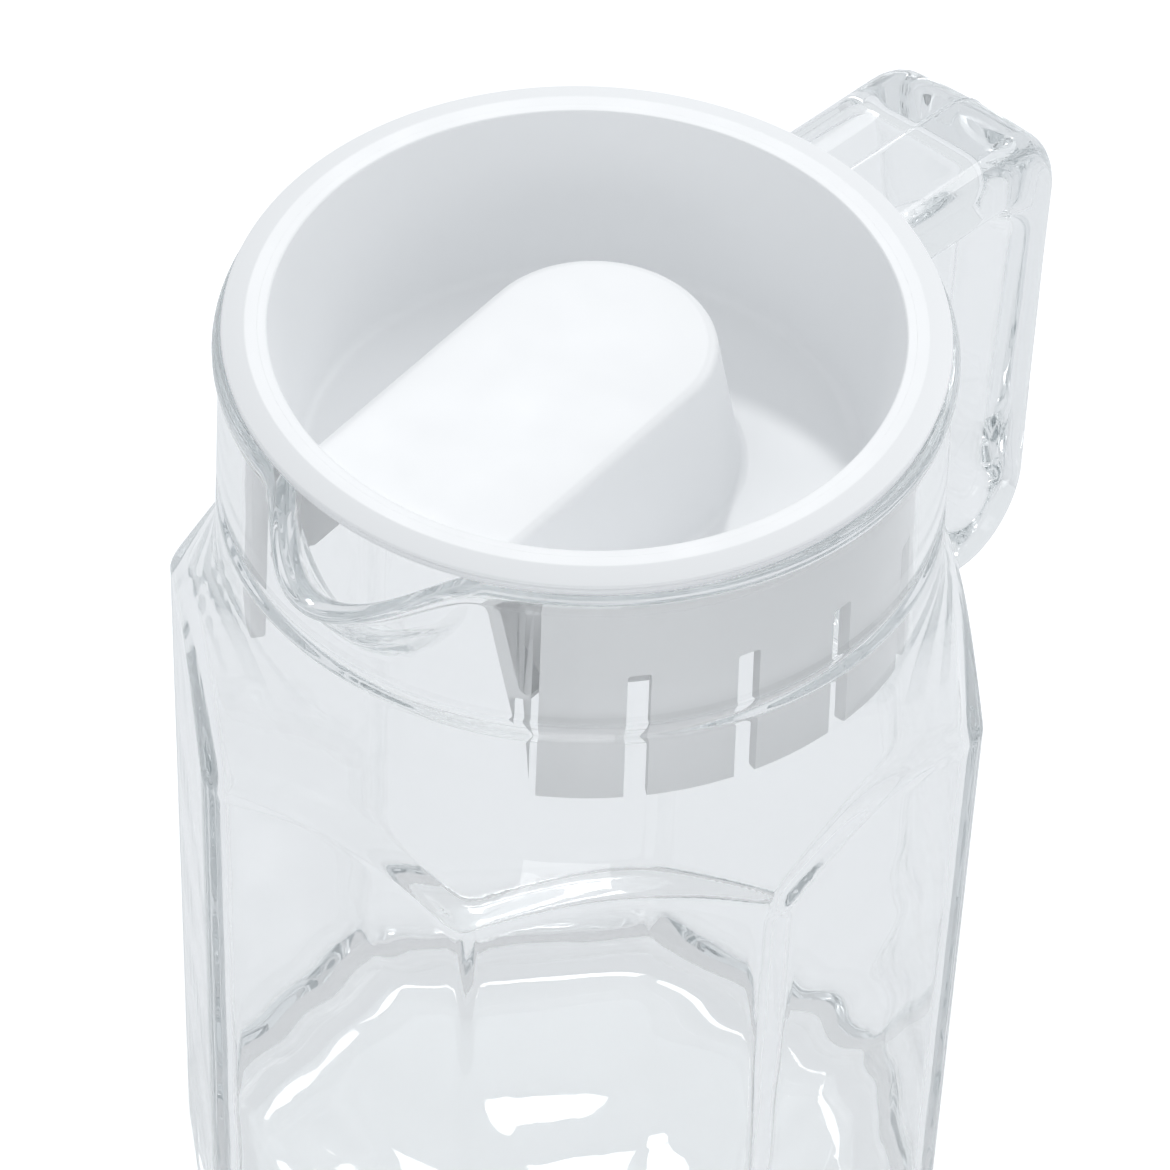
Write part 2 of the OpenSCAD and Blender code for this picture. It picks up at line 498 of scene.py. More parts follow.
@dataclass(frozen=True)
class PressedGlass:
    """Soda-lime glass, pressed and fire polished: clear, with a faint cool tint in thick edges."""

    tint: str = WHITE
    shadow_tint: str = "FCFDFD"
    edge_tint: str = "E6E9EA"
    edge_density: float = 8.0
    ior: float = 1.52
    wave_length: float = 17.0
    wave_depth: float = 0.05

    def material(self) -> bpy.types.Material:
        """Make the glass.

        Returns:
            A material that bends light and lets the lamps through to what is behind it.
        """
        made, tree = blank_material("clear pressed glass")
        # Pressed glass is never quite flat: long shallow waves bend what is seen through it
        waves = noise(tree, self.wave_length, Detail=1.5, Roughness=0.4)
        glass = node(
            tree,
            "ShaderNodeBsdfGlass",
            Color=linear(self.tint),
            Roughness=0.0,
            IOR=self.ior,
            Normal=bumped(tree, waves, self.wave_depth),
        )
        clear = node(tree, "ShaderNodeBsdfTransparent", Color=linear(self.shadow_tint))
        path = node(tree, "ShaderNodeLightPath")
        surface = mixed(tree, path.outputs["Is Shadow Ray"], glass, clear)
        inside = node(
            tree,
            "ShaderNodeVolumeAbsorption",
            Color=linear(self.edge_tint),
            Density=self.edge_density,
        )
        node(
            tree,
            "ShaderNodeOutputMaterial",
            Surface=surface.outputs[0],
            Volume=inside.outputs[0],
        )
        return made


@dataclass(frozen=True)
class LidPlastic:
    """White injection-moulded polyethylene: a satin skin with a fine grain."""

    colour: str = "F8F9FA"
    roughness: float = 0.4
    ior: float = 1.51
    grain: float = 0.8
    grain_depth: float = 0.004
    cloud: float = 9.0
    more_gloss: float = 0.03
    less_gloss: float = 0.05

    def material(self) -> bpy.types.Material:
        """Make the plastic.

        Returns:
            A white satin material with the faint unevenness of a polished mould.
        """
        made, tree = blank_material("white moulded plastic")
        # The flow of the melt leaves cloudy patches of gloss a few millimetres across
        gloss = node(
            tree,
            "ShaderNodeMapRange",
            Value=noise(tree, self.cloud, Detail=2.0),
            To_Min=self.roughness - self.more_gloss,
            To_Max=self.roughness + self.less_gloss,
        )
        grain = noise(tree, self.grain, Detail=2.0)
        skin = node(
            tree,
            "ShaderNodeBsdfPrincipled",
            Base_Color=linear(self.colour),
            Roughness=gloss.outputs["Result"],
            IOR=self.ior,
            Normal=bumped(tree, grain, self.grain_depth),
        )
        node(tree, "ShaderNodeOutputMaterial", Surface=skin.outputs[0])
        return made


def dress(piece: bpy.types.Object, made: bpy.types.Material, body: Body) -> None:
    """Give a piece its finish and the body that it moves with.

    Args:
        piece: The finished piece.
        made: Its material.
        body: The body it rides on.
    """
    piece.data.materials.clear()
    piece.data.materials.append(made)
    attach(piece, body.value)
    tell(piece)


@dataclass
class GlassJug:
    """The jug with its spout and handle, in one piece of glass. Millimetres and degrees."""

    finish: PressedGlass = field(default_factory=PressedGlass)
    columns: int = 384
    crease: float = 35.0
    height: float = 185.0
    sides: int = 8
    foot_face_r: float = 55.44
    face_draft: float = 2.0
    corner_z: float = 122.0
    corner_blend: float = 1.7
    arch_blend: float = 1.4
    neck_r: float = 55.2
    flare_z: float = 144.8
    flare_r: float = 32.3
    foot_round: float = 3.0
    foot_land: float = 6.0
    base_t: float = 9.0
    base_hollow: float = 1.2
    floor_round: float = 9.0
    floor_crown: float = 0.8
    foot_bore_r: float = 50.94
    bore_r: float = 51.2
    rim_r: float = 56.2
    rim_round: float = 1.9
    neck_wall: float = 4.0
    hollow_blend: float = 1.6
    hollow_arch_blend: float = 1.8
    hollow_drop: float = 2.0
    inner_draw: float = 0.75
    ripple: float = 0.05
    ripple_short: float = 3.3
    ripple_long: float = 5.1
    ripple_top_z: float = 112.0
    ripple_fade: float = 20.0
    groove_z: float = 157.0
    groove_half: float = 2.5
    groove_depth: float = 0.9
    spout_reach: float = 11.8
    spout_root_z: float = 163.4
    spout_half: float = 23.0
    spout_opening: float = 0.4
    spout_run_up: float = 0.9
    lip_drop: float = 5.3

    def off_face(self, turn: np.ndarray) -> tuple[np.ndarray, np.ndarray]:
        """Measure each angle from the middle of the nearest face and of the next one.

        Args:
            turn: Angles from the spout, in radians.

        Returns:
            The angles from the nearest face and from the one after it.
        """
        step = FULL_TURN / self.sides
        off = np.abs((turn + step / 2) % step - step / 2)
        return off, step - off

    def flare(self, z: np.ndarray) -> np.ndarray:
        """Give the outer radius of the round neck and its flared shoulder.

        Args:
            z: Heights.

        Returns:
            The radii.
        """
        # The curve stops just short of its quarter circle, where it would run level
        below = np.clip(self.flare_z - z, 0, self.flare_r * 0.98)
        return self.neck_r + self.flare_r - np.sqrt(self.flare_r**2 - below**2)

    def outside(self, turn: np.ndarray, z: np.ndarray) -> np.ndarray:
        """Give the distance of the outer glass from the axis.

        Args:
            turn: Angles from the spout, in radians.
            z: Heights.

        Returns:
            The distances, with rounded corners and a rounded arch over each face.
        """
        near, next_near = self.off_face(turn)
        face = self.foot_face_r + z * math.tan(math.radians(self.face_draft))
        body = soft_least(face / np.cos(near), face / np.cos(next_near), self.corner_blend)
        return soft_least(body, self.flare(z), self.arch_blend)

    def corner(self, z: float) -> float:
        """Give the outer radius at one of the upright corners.

        Args:
            z: The height.

        Returns:
            The radius.
        """
        turn = np.array([math.pi / self.sides])
        return float(self.outside(turn, np.array([z]))[0])

    def hollow(self, turn: np.ndarray, z: np.ndarray) -> np.ndarray:
        """Give the distance of the inner glass from the axis.

        Args:
            turn: Angles from the spout, in radians.
            z: Heights.

        Returns:
            The distances: a wall inside the faces and the shoulder, with much rounder corners.
        """
        near, next_near = self.off_face(turn)
        face = self.foot_bore_r + z * math.tan(math.radians(self.face_draft))
        body = soft_least(face / np.cos(near), face / np.cos(next_near), self.hollow_blend)
        below = np.clip(self.flare_z - self.hollow_drop - z, 0, self.flare_r)
        inner = self.flare_r + self.neck_wall
        bore = self.neck_r + self.flare_r - np.sqrt(inner**2 - below**2)
        # The plunger leaves shallow level ripples in the lower half, which sway round the jug
        sway = 1.4 * np.sin(3 * turn + 0.6)
        waves = np.sin(z / self.ripple_short + sway)
        waves = waves + 0.7 * np.sin(z / self.ripple_long + 5 * turn)
        body = body + self.ripple * waves * ease((self.ripple_top_z - z) / self.ripple_fade)
        return soft_least(body, bore, self.hollow_arch_blend)

    def groove(self, z: float) -> float:
        """Give the depth of the mould groove round the neck.

        Args:
            z: The height.

        Returns:
            The depth there.
        """
        off = abs(z - self.groove_z) / self.groove_half
        return self.groove_depth * 0.5 * (1 + math.cos(math.pi * off)) if off < 1 else 0.0

    def outer_profile(self) -> Profile:
        """List the outer skin at a corner.

        Returns:
            The skin from the middle of the base to the top of the rim.
        """
        foot = self.corner(0) - self.foot_round
        hollow_r = foot - self.foot_land
        points: Profile = [(0, self.base_hollow)]
        points += [
            (hollow_r * s, self.base_hollow * (1 - s**4)) for s in (0.25, 0.5, 0.7, 0.85, 0.95)
        ]
        points += [(hollow_r, 0), (hollow_r + self.foot_land / 4, 0)]
        points += arc((foot, self.foot_round), self.foot_round, -90, 0, steps=6)
        # The rows lie closest where the arches over the faces and the groove curve
        arch_z, groove_z = self.corner_z, self.groove_z
        bead_z = self.height - self.rim_round
        stops = [6, arch_z - 12, arch_z - 4, arch_z + 12, arch_z + 24]
        stops += [groove_z - 3, groove_z + 3, bead_z - 2.5]
        rows = levels(stops, steps=(4, 1.0, 0.5, 1.0, 1.5, 0.3, 1.0))
        points += [(self.corner(z) - self.groove(z), z) for z in rows]
        bead_r = self.rim_r - self.rim_round
        low = -math.degrees(math.acos((self.neck_r - bead_r) / self.rim_round)) / 1.6
        # Two points ease the neck into the bead
        points += [(self.neck_r, bead_z - 2.2), (self.neck_r + 0.12, bead_z - 1.7)]
        points += arc((bead_r, bead_z), self.rim_round, low, 90, steps=9)
        return points

    def inner_profile(self) -> Profile:
        """List the inner skin, from the top of the rim to the middle of the floor.

        Returns:
            The rim's points as they are, and the rest drawn narrower, as a straight tube, so that
            the press can tell the two skins apart.
        """
        bead_z = self.height - self.rim_round
        rim = arc((self.bore_r + self.rim_round, bead_z), self.rim_round, 90, 180, steps=7)
        corner_r = self.foot_bore_r - self.floor_round
        low_z = self.base_t + self.floor_round
        arch_z = self.corner_z
        rows = levels((bead_z - 1, arch_z + 28, arch_z - 10, low_z), steps=(-1.2, -1.0, -1.5))
        tube: Profile = [(self.foot_bore_r, z) for z in rows]
        tube += arc((corner_r, low_z), self.floor_round, 0, -90, steps=9)
        # The floor rises a little towards its middle
        shares = (0.93, 0.85, 0.76, 0.67, 0.58, 0.49, 0.4, 0.3, 0.2, 0.1, 0)
        tube += [(corner_r * s, self.base_t + self.floor_crown * (1 - s * s)) for s in shares]
        return rim + [(r * self.inner_draw, z) for r, z in tube]

    def press(self, rows: np.ndarray) -> np.ndarray:
        """Press the eight faces into the outer skin and pull the spout out of both skins.

        Args:
            rows: Places on the turned shell, in millimetres.

        Returns:
            The pressed places.
        """
        turn = np.arctan2(rows[:, 1], rows[:, 0])
        far = np.hypot(rows[:, 0], rows[:, 1])
        z = rows[:, 2]
        # The inner skin is still a narrow tube here, which tells it from the outer one
        narrow = self.foot_bore_r * self.inner_draw
        inner = (far < narrow + 0.1) & (z > self.base_t - 0.01)
        envelope = self.outside(np.full_like(z, math.pi / self.sides), z)
        skin = far * self.outside(turn, z) / envelope
        pressed = np.where(inner, far * self.hollow(turn, z) / narrow, skin)

        # The spout meets the neck in a U with a crisp edge, and its lip runs softly into the rim
        rise = np.clip((z - self.spout_root_z) / (self.height - self.spout_root_z), 0, 1)
        half = math.radians(self.spout_half) * np.maximum(rise, 1e-6) ** self.spout_opening
        across = np.clip(np.abs(turn) / half, 0, 1)
        softness = 1.2 + 0.8 * ease((rise - 0.5) / 0.5)
        bulge = np.cos(across * math.pi / 2) ** softness
        pressed = pressed + self.spout_reach * bulge * rise**self.spout_run_up
        lowered = z - self.lip_drop * bulge * rise
        return np.stack([pressed * np.cos(turn), pressed * np.sin(turn), lowered], axis=1)

    def shell(self) -> bpy.types.Object:
        """Make the body, neck and spout.

        Returns:
            The closed shell of glass without its handle.
        """
        profile = self.outer_profile() + self.inner_profile()[1:]
        piece = turned("jug_glass", profile, self.columns, closed=False)
        place(piece, self.press(places(piece) / MM) * MM)
        return piece

    def build(self) -> bpy.types.Object:
        """Make the whole jug.

        Returns:
            The jug, standing for both of its CAD nodes.
        """
        piece = self.shell()
        carve(piece, StrapHandle().build(), Cut.JOIN)
        outwards(piece)
        smooth(piece, self.crease)
        dress(piece, self.finish.material(), Body.JUG)
        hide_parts("glass_body", "glass_handle")
        return piece


@dataclass
class StrapHandle:
    """The strap handle, a rounded bar that runs out of the neck and back into the body."""

    reach: float = 102.6
    top_z: float = 176.0
    neck_r: float = 55.2
    body_r: float = 59.0
    low_z: float = 82.0
    upper_t: float = 14.5
    grip_t: float = 13.6
    lower_t: float = 12.0
    upper_fall: float = 10.0
    lower_fall: float = 8.0
    grip_lean: float = 3.4
    grip_taper: float = 1.6
    outer_top_round: float = 14.0
    outer_low_round: float = 14.0
    inner_round: float = 7.0
    width: float = 29.8
    edge_round: float = 4.6
    upper_root: float = 51.7
    lower_root: float = 55.6
    flare: float = 5.0
    flare_wide: float = 0.55
    flare_thick: float = 0.7
    slimmer: float = 0.6
    crown: float = 0.35
    seam_half: float = 0.35
    seam_height: float = 0.22

    def corners(self) -> tuple[list[Vector], list[Vector]]:
        """Work out the side outline.

        Returns:
            The four corners of the outer line and of the inner line, from the upper root round to
            the lower root, as distance from the axis and height.
        """
        fall_up = math.tan(math.radians(self.upper_fall))
        fall_low = math.tan(math.radians(self.lower_fall))
        lean_out = math.tan(math.radians(self.grip_lean))
        lean_in = math.tan(math.radians(self.grip_lean + self.grip_taper))
        top_out_z = self.top_z - (self.reach - self.neck_r) * fall_up
        low_out_r = self.reach - (top_out_z - self.low_z) * lean_out
        upper_z = self.top_z + (self.neck_r - self.upper_root) * fall_up
        lower_z = self.low_z + (low_out_r - self.lower_root) * fall_low
        outer = [
            Vector((self.upper_root, upper_z)),
            Vector((self.reach, top_out_z)),
            Vector((low_out_r, self.low_z)),
            Vector((self.lower_root, lower_z)),
        ]
        upper_in_z = upper_z - self.upper_t / math.cos(math.radians(self.upper_fall))
        lower_in_z = lower_z + self.lower_t / math.cos(math.radians(self.lower_fall))
        grip_in = low_out_r - self.grip_t / math.cos(math.radians(self.grip_lean))
        inner = [Vector((self.upper_root, upper_in_z))]
        for root_r, root_z, fall in (
            (self.upper_root, upper_in_z, fall_up),
            (self.lower_root, lower_in_z, fall_low),
        ):
            far = (grip_in + (root_z + root_r * fall - self.low_z) * lean_in) / (1 + fall * lean_in)
            inner.append(Vector((far, root_z - (far - root_r) * fall)))
        inner.append(Vector((self.lower_root, lower_in_z)))
        return outer, inner

    @staticmethod
    def path(corners: list[Vector], radii: tuple[float, float], counts: Sequence[int]) -> np.ndarray:
        """Lay points along three straight runs with two rounded corners between them.

        Args:
            corners: The four corners.
            radii: Radius at the second and the third corner.
            counts: Points on each straight run and each corner, in order.

        Returns:
            The points, one row each.
        """
        ends: list[tuple[float, float]] = [tuple(corners[0])]
        bends: list[Profile] = []
        for i, radius in ((1, radii[0]), (2, radii[1])):
            before = (corners[i - 1] - corners[i]).normalized()
            after = (corners[i + 1] - corners[i]).normalized()
            half = before.angle(after) / 2
            run = radius / math.tan(half)
            center = corners[i] + (before + after).normalized() * radius / math.sin(half)
            first = corners[i] + before * run - center
            last = corners[i] + after * run - center
            start = math.degrees(math.atan2(first.y, first.x))
            end = math.degrees(math.atan2(last.y, last.x))
            end = start + (end - start + 180) % 360 - 180
            bends.append(arc(tuple(center), radius, start, end, counts[2 * i - 1]))
            ends += [bends[-1][0], bends[-1][-1]]
        ends.append(tuple(corners[3]))
        points = line(ends[0], ends[1], counts[0]) + bends[0][:-1]
        points += line(ends[2], ends[3], counts[2]) + bends[1][:-1]
        points += line(ends[4], ends[5], counts[4]) + [ends[5]]
        return np.array(points)

    def outline(self, half_w: float, half_t: float) -> Profile:
        """Give the bar's section as a rounded rectangle with the mould seam on its outer face.

        Args:
            half_w: Half of the width.
            half_t: Half of the thickness.

        Returns:
            Points across and through the bar, always as many.
        """
        edge = min(self.edge_round, half_t * 0.8)
        flat_w, flat_t = half_w - edge, half_t - edge
        # The outer face is crowned, and the mould seam runs along its middle
        across = (flat_w * 0.66, flat_w * 0.33, self.seam_half * 2, self.seam_half)
        right = [(x, half_t + self.crown * (1 - (x / flat_w) ** 2)) for x in across]
        points: Profile = arc((flat_w, -flat_t), edge, -90, 0, steps=6)
        points += arc((flat_w, flat_t), edge, 0, 90, steps=6)
        points += right + [(0, half_t + self.crown + self.seam_height)]
        points += [(-x, depth) for x, depth in reversed(right)]
        points += arc((-flat_w, flat_t), edge, 90, 180, steps=6)
        points += arc((-flat_w, -flat_t), edge, 180, 270, steps=6)
        points += [(-flat_w * 0.5, -half_t), (0, -half_t), (flat_w * 0.5, -half_t)]
        return points

    def build(self) -> bpy.types.Object:
        """Make the handle.

        Returns:
            A closed bar whose two ends lie inside the jug's wall.
        """
        outer, inner = self.corners()
        # Points on the upper bar, the top corner, the grip, the low corner and the lower bar
        counts = (22, 14, 22, 12, 18)
        out_path = self.path(outer, (self.outer_top_round, self.outer_low_round), counts)
        in_path = self.path(inner, (self.inner_round, self.inner_round), counts)
        stations = len(out_path)
        ring = len(self.outline(self.width / 2, self.grip_t / 2))
        piece, where = drawn_up("handle_glass", ring, stations)
        rows = np.empty((stations, ring, 3))
        for i, (a, b) in enumerate(zip(out_path, in_path, strict=True)):
            through = a - b
            thick = np.hypot(*through)
            middle = (a + b) / 2
            # Near each root the bar flares out, as a pressed handle runs into the wall
            gap = middle[0] - (self.neck_r if i < stations / 2 else self.body_r)
            near = np.clip(1 - max(gap, 0) / self.flare, 0, 1)
            swell = self.flare * (1 - math.sqrt(1 - near**2)) * self.flare_wide
            unit = through / thick
            half_t = thick / 2 + swell * self.flare_thick - self.slimmer
            section = self.outline(self.width / 2 + swell, half_t)
            for j, (across, depth) in enumerate(section):
                spot = middle + unit * depth
                rows[i, j] = (-spot[0], across, spot[1])
        place(piece, rows[where[:, 0], where[:, 1]] * MM)
        outwards(piece)
        return piece


@dataclass
class LidRim:
    """The round rim of the lid, which lies on the glass. Millimetres."""

    bottom_z: float = 185.2
    top_z: float = 188.2
    inner_r: float = 49.48
    outer_r: float = 54.9
    slope_w: float = 3.5
    slope_h: float = 1.0
    slope_round: float = 1.2
    edge_round: float = 0.45
    columns: int = 256
    crease: float = 40.0

    def build(self, made: bpy.types.Material) -> bpy.types.Object:
        """Make the rim.

        Args:
            made: The lid's material.

        Returns:
            The ring, standing for its CAD node.
        """
        corners = [
            (self.inner_r, self.bottom_z),
            (self.outer_r, self.bottom_z),
            (self.outer_r, self.top_z - self.slope_h),
            (self.outer_r - self.slope_w, self.top_z),
            (self.inner_r, self.top_z),
        ]
        profile = rounded(corners, [0, self.edge_round, self.edge_round, self.slope_round, 0])
        piece = turned("lid_rim_ring", profile, self.columns, closed=True)
        smooth(piece, self.crease)
        dress(piece, made, Body.LIFTING)
        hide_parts("lid_rim")
        return piece


@dataclass
class LidInsert:
    """The part of the lid inside its rim: recess, grip bar, tunnel and slotted skirt.

    Its lip keeps a hundredth of a millimetre from the rim, so that it turns without touching.
    """

    top_z: float = 188.2
    lip_r: float = 49.47
    lip_foot: float = 0.1
    recess_r: float = 48.0
    recess_d: float = 28.3
    floor_round: float = 2.0
    mouth_round: float = 0.35
    under_round: float = 1.5
    draft: float = 10.5
    wall: float = 1.8
    skirt_r: float = 50.6
    skirt_top_z: float = 185.0
    skirt_low_z: float = 140.7
    skirt_round: float = 0.4
    bar_w: float = 36.4
    bar_end: float = 20.6
    bar_drop: float = 4.3
    bar_edge: float = 1.5
    bar_foot: float = 1.2
    tunnel_edge: float = 0.8
    slot_h: float = 25.5
    slot_w: float = 3.5
    slot_run: float = 12.0
    slot_round: float = 0.5
    slot_count: int = 8
    slot_first: float = 47.4
    window_half: float = 31.0
    columns: int = 256
    crease: float = 35.0

    @property
    def floor_z(self) -> float:
        """Height of the recess floor."""
        return self.top_z - self.recess_d

    @property
    def skirt_in_r(self) -> float:
        """Inner radius of the skirt."""
        return self.skirt_r - self.wall

    @property
    def lean(self) -> float:
        """How far a drafted wall moves out for each millimetre of height."""
        return math.tan(math.radians(self.draft))

    def shell(self) -> bpy.types.Object:
        """Make the recess, the lip and the skirt in one turned shell.

        Returns:
            The shell without its grip bar.
        """
        across = self.wall / math.cos(math.radians(self.draft))
        foot_r = self.recess_r - self.recess_d * self.lean
        under_z = self.floor_z - self.wall
        under_r = foot_r + across - self.wall * self.lean
        meet_z = self.top_z - (self.recess_r + across - self.skirt_in_r) / self.lean
        corners = [
            (0, self.floor_z),
            (foot_r, self.floor_z),
            (self.recess_r, self.top_z),
            (self.lip_r, self.top_z),
            (self.lip_r, self.skirt_top_z + self.lip_foot),
            (self.skirt_r, self.skirt_top_z),
            (self.skirt_r, self.skirt_low_z),
            (self.skirt_in_r, self.skirt_low_z),
            (self.skirt_in_r, meet_z),
            (under_r, under_z),
            (0, under_z),
        ]
        skirt = [self.skirt_round] * 3
        radii = [0, self.floor_round, self.mouth_round, 0, 0, *skirt, 0, self.under_round, 0]
        profile = rounded(corners, radii)
        return turned("lid_insert", profile, self.columns, closed=False)

    def bar(self, name: str, wall: float) -> bpy.types.Object:
        """Make the drafted bar with a round end, which runs out past the skirt at the spout.

        Args:
            name: Name of the piece.
            wall: How far it is drawn in: nought for the outside, the wall for the tunnel.

        Returns:
            The solid bar.
        """
        top_z = self.top_z - self.bar_drop - wall
        top_r = self.bar_w / 2 + wall * self.lean - wall / math.cos(math.radians(self.draft))
        center_x = self.bar_w / 2 - self.bar_end
        # The bar ends just inside the skirt's inner face, and the tunnel runs out through it
        end_x = 2 * self.skirt_r if wall else self.skirt_in_r - 0.3
        edge = self.bar_edge if not wall else self.tunnel_edge
        # Each ring is a height and how far the outline lies outside the bar's top outline
        rings = [(top_z, -edge)]
        bends, foot_bends, ends, parts = 6, 5, 48, 6
        for i in range(1, bends + 1):
            turn = math.pi / 2 * i / bends
            out = -edge + edge * math.sin(turn)
            rings.append((top_z - edge * (1 - math.cos(turn)), out + edge * self.lean * i / bends))
        if wall:
            low_z = self.skirt_low_z - OVERRUN
            rings.append((low_z, (top_z - low_z) * self.lean))
        else:
            foot = self.bar_foot
            for i in range(foot_bends + 1):
                turn = math.pi / 2 * i / foot_bends
                z = self.floor_z + foot * (1 - math.sin(turn))
                rings.append((z, (top_z - z) * self.lean + foot * (1 - math.cos(turn))))
            spread = (top_z - self.floor_z) * self.lean + foot
            rings.append((self.floor_z - self.wall / 2, spread))
        outline = ends + 1 + 2 * parts
        piece, where = drawn_up(name, outline, len(rings))
        rows = np.empty((len(rings), outline, 3))
        for i, (z, out) in enumerate(rings):
            r = top_r + out
            round_end = [
                (center_x + r * math.cos(t), r * math.sin(t), z)
                for t in (math.pi / 2 + math.pi * k / ends for k in range(ends + 1))
            ]
            run = (end_x - center_x) / parts
            runs = [(center_x + run * k, -r, z) for k in range(1, parts + 1)]
            back = [(x, r, z) for x, _, z in reversed(runs)]
            rows[i] = round_end + runs + back
        place(piece, rows[where[:, 0], where[:, 1]] * MM)
        outwards(piece)
        return piece

    def slots(self) -> bpy.types.Object:
        """Make the solid that opens the pouring window and the slots of the skirt.

        Returns:
            One solid of wedges and bars round the foot of the skirt.
        """
        low_z = self.skirt_low_z - OVERRUN
        height = self.slot_h + OVERRUN
        mid_z = low_z + height / 2
        step = (180 - self.slot_first) / (self.slot_count - 1)
        turns = [self.slot_first + i * step for i in range(self.slot_count)]
        turns += [-t for t in turns[:-1]]
        made = []
        for turn in turns:
            a = math.radians(turn)
            rest()
            bpy.ops.mesh.primitive_cube_add(
                size=1,
                location=(self.skirt_r * math.cos(a) * MM, self.skirt_r * math.sin(a) * MM, mid_z * MM),
                rotation=(0, 0, a),
                scale=(self.slot_run * MM, self.slot_w * MM, height * MM),
            )
            bar = bpy.context.object
            bpy.ops.object.transform_apply(location=True, rotation=True, scale=True)
            edit(bar)
            bpy.ops.mesh.bevel(offset=self.slot_round * MM, segments=2, affect="EDGES")
            rest()
            made.append(bar)
        rest()
        half = math.radians(self.window_half)
        reach = 2 * self.skirt_r
        corners = [(0, 0), (reach, -reach * math.tan(half)), (reach, reach * math.tan(half))]
        low_corners = [(x * MM, y * MM, low_z * MM) for x, y in corners]
        wedge = ring_of_points("window", low_corners, filled=True)
        edit(wedge)
        # The window ends just above the skirt's top, so no film of plastic is left over it
        window_h = self.skirt_top_z + 0.3 - low_z
        bpy.ops.mesh.extrude_region_move(TRANSFORM_OT_translate={"value": (0, 0, window_h * MM)})
        bpy.ops.mesh.select_all(action="SELECT")
        bpy.ops.mesh.normals_make_consistent(inside=False)
        rest()
        # The window opens the skirt alone, so the recess wall inside it is kept out of the cut
        low, high = low_z - OVERRUN, self.skirt_top_z + OVERRUN
        core = [(0, low), (self.skirt_in_r, low), (self.skirt_in_r, high), (0, high)]
        carve(wedge, turned("core", core, self.columns, closed=False), Cut.AWAY)
        for bar in made:
            bar.select_set(True)
        wedge.select_set(True)
        bpy.context.view_layer.objects.active = wedge
        bpy.ops.object.join()
        rest()
        return wedge

    def build(self, made: bpy.types.Material) -> bpy.types.Object:
        """Make the insert.

        Args:
            made: The lid's material.

        Returns:
            The moulding, standing for its three CAD nodes.
        """
        piece = self.shell()
        bar = self.bar("grip bar", 0)
        carve(piece, bar, Cut.JOIN)
        carve(piece, self.bar("tunnel", self.wall), Cut.AWAY)
        carve(piece, self.slots(), Cut.AWAY)
        outwards(piece)
        smooth(piece, self.crease)
        dress(piece, made, Body.TURNING)
        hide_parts("lid_cup", "lid_grip", "lid_skirt")
        return piece


@dataclass(frozen=True)
class Lamp:
    """A soft square lamp that faces the middle of the jug. Metres and watts."""

    name: str
    spot: tuple[float, float, float]
    size: float
    power: float
    faces_z: float = 0.12

    def hang(self) -> None:
        """Hang the lamp in its place."""
        rest()
        bpy.ops.object.light_add(type="AREA", location=self.spot)
        lamp = bpy.context.object
        lamp.name = self.name
        lamp.data.shape = "SQUARE"
        lamp.data.size = self.size
        lamp.data.energy = self.power
        aim = Vector((0, 0, self.faces_z)) - Vector(self.spot)
        lamp.rotation_euler = aim.to_track_quat("-Z", "Y").to_euler()


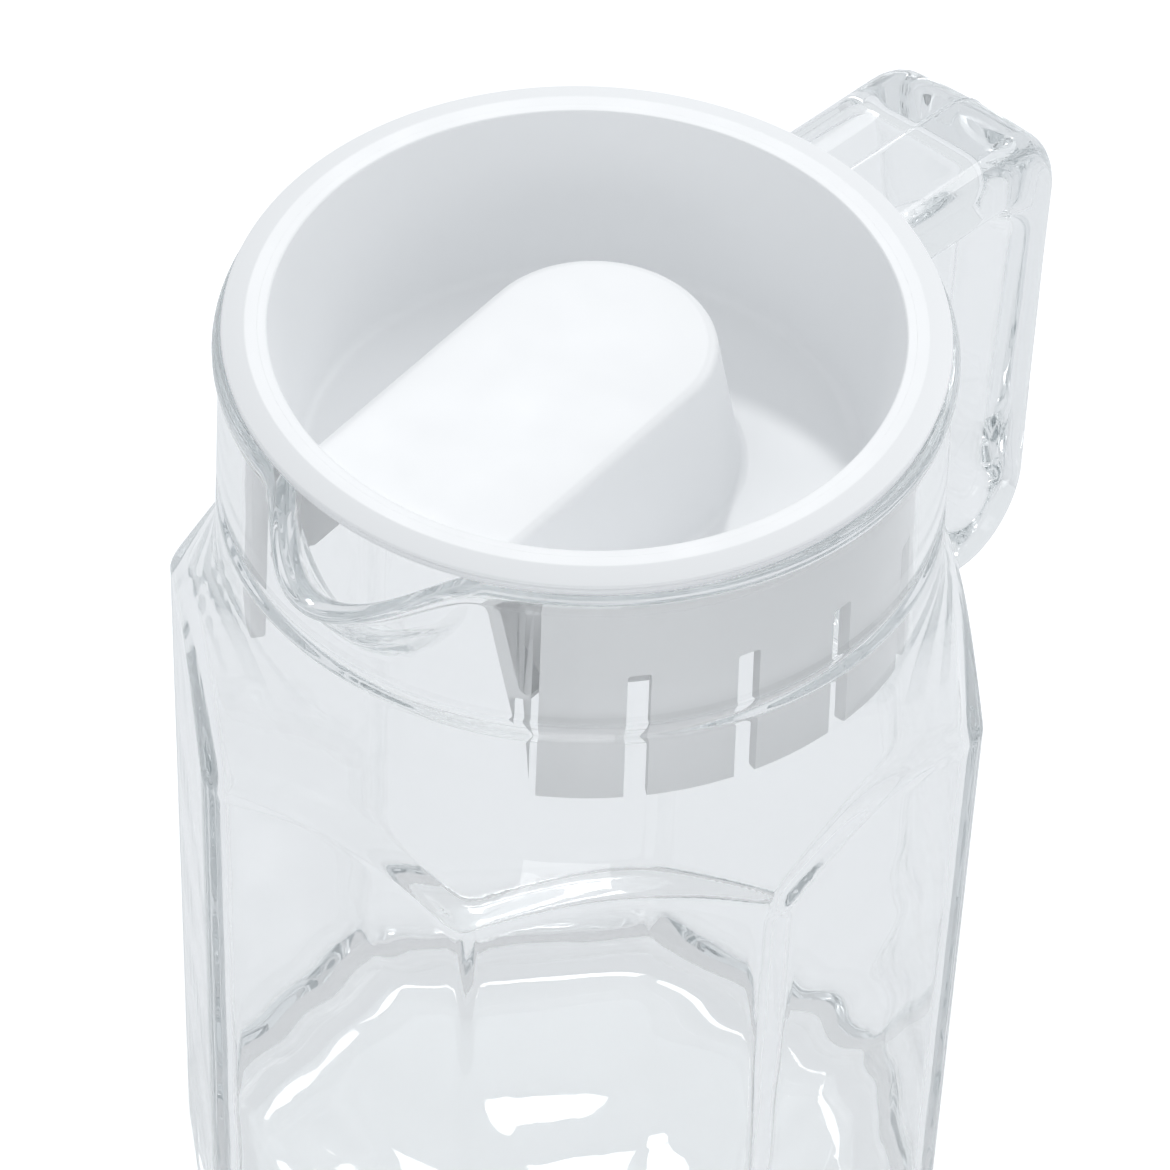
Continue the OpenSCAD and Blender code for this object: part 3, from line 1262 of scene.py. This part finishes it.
@dataclass
class Studio:
    """The table, the soft lights and the camera. Camera in millimetres, room in metres."""

    camera_place: tuple[float, float, float] = (1506.29, 1118.67, 1947.68)
    camera_aim: tuple[float, float, float] = (-0.57758, -0.42840, -0.69489)
    camera_roll: float = 2.2
    lens: float = 528.65
    sensor: float = 36.0
    farthest: float = 50.0
    lamps: tuple[Lamp, ...] = (
        Lamp("back light", (-1.33, -1.03, 1.88), 0.18, 10.7),
        Lamp("side light", (-1.5, 0.45, 1.25), 1.0, 6.0),
        Lamp("front light", (1.57, 1.165, 0.53), 0.8, 3.2),
    )
    table_w: float = 40.0
    table_colour: str = "F4F5F6"
    table_glow: float = 0.35
    # Painted shade and painted light for rays through glass or gloss: a greyer table colour, and a glow
    # that fills in the jug's shadows
    painted_shade_colour: str = "C5C8CB"
    painted_shadow_fill_glow: float = 0.32
    room_colour: str = "F3F6F9"
    room: float = 0.71
    far_room_colour: str = "F1F5F8"
    far_room: float = 0.9
    bounces: int = 64

    def camera(self) -> None:
        """Place the camera where the photograph was taken from."""
        rest()
        bpy.ops.object.camera_add()
        camera = bpy.context.object
        aim = Vector(self.camera_aim)
        turn = aim.to_track_quat("-Z", "Y").to_matrix()
        roll = Matrix.Rotation(math.radians(self.camera_roll), 3, "Z")
        camera.matrix_world = Matrix.Translation(Vector(self.camera_place) * MM) @ (
            turn @ roll
        ).to_4x4()
        camera.data.sensor_width = self.sensor
        camera.data.lens = self.lens
        camera.data.clip_end = self.farthest
        bpy.context.scene.camera = camera

    @staticmethod
    def glowing(tree: bpy.types.NodeTree, matt: bpy.types.Node, glow: float) -> bpy.types.Node:
        """Let a matt surface glow a little.

        Args:
            tree: The material's nodes.
            matt: The matt shader.
            glow: Strength of the glow.

        Returns:
            The shader with both.
        """
        light = node(tree, "ShaderNodeEmission", Color=linear(WHITE), Strength=glow)
        return node(tree, "ShaderNodeAddShader", input_0=matt.outputs[0], input_1=light.outputs[0])

    def table(self) -> None:
        """Lay a plain white table that keeps the jug's shadow."""
        rest()
        bpy.ops.mesh.primitive_plane_add(size=self.table_w, location=(0, 0, 0))
        table = bpy.context.object
        table.name = "table"
        made, tree = blank_material("white table")
        path = node(tree, "ShaderNodeLightPath")
        matt = node(tree, "ShaderNodeBsdfDiffuse", Color=linear(self.table_colour))
        # Painted shade: to rays that came by glass or gloss the table is painted greyer, and a painted
        # glow fills in its shadows
        painted_grey_matt = node(tree, "ShaderNodeBsdfDiffuse", Color=linear(self.painted_shade_colour))
        shade = self.glowing(tree, painted_grey_matt, self.painted_shadow_fill_glow)
        other = after_glass(tree, path, matt, shade)
        bright = self.glowing(tree, matt, self.table_glow)
        surface = mixed(tree, path.outputs["Is Camera Ray"], other, bright)
        node(tree, "ShaderNodeOutputMaterial", Surface=surface.outputs[0])
        table.data.materials.append(made)

    def surroundings(self) -> None:
        """Fill the room with even light, and show it white where the camera sees past the table."""
        world = bpy.data.worlds.new("studio")
        bpy.context.scene.world = world
        world.use_nodes = True
        # The room is even, so it needs no aimed rays, and thick glass passes the others better
        world.cycles.sampling_method = "NONE"
        tree = world.node_tree
        tree.nodes.clear()
        path = node(tree, "ShaderNodeLightPath")
        room, far_room, white = (
            node(tree, "ShaderNodeBackground", Color=linear(colour), Strength=strength)
            for colour, strength in (
                (self.room_colour, self.room),
                (self.far_room_colour, self.far_room),
                (WHITE, 1.0),
            )
        )
        lit = after_glass(tree, path, room, far_room)
        seen = mixed(tree, path.outputs["Is Camera Ray"], lit, white)
        node(tree, "ShaderNodeOutputWorld", Surface=seen.outputs[0])

    def build(self) -> None:
        """Set up the table, the lights, the view and the camera."""
        self.camera()
        self.table()
        self.surroundings()
        for lamp in self.lamps:
            lamp.hang()
        scene = bpy.context.scene
        scene.view_settings.view_transform = "Standard"
        # Thick glass sends a ray round many times before it comes out
        scene.cycles.max_bounces = self.bounces
        scene.cycles.transmission_bounces = self.bounces
        scene.cycles.glossy_bounces = self.bounces
        scene.cycles.transparent_max_bounces = self.bounces


def main() -> None:
    """Build the studio and every piece of the pitcher."""
    logging.basicConfig(level=logging.INFO, format="%(name)s: %(message)s")
    Studio().build()
    GlassJug().build()
    plastic = LidPlastic().material()
    LidRim().build(plastic)
    LidInsert().build(plastic)


if __name__ == "__main__":
    main()
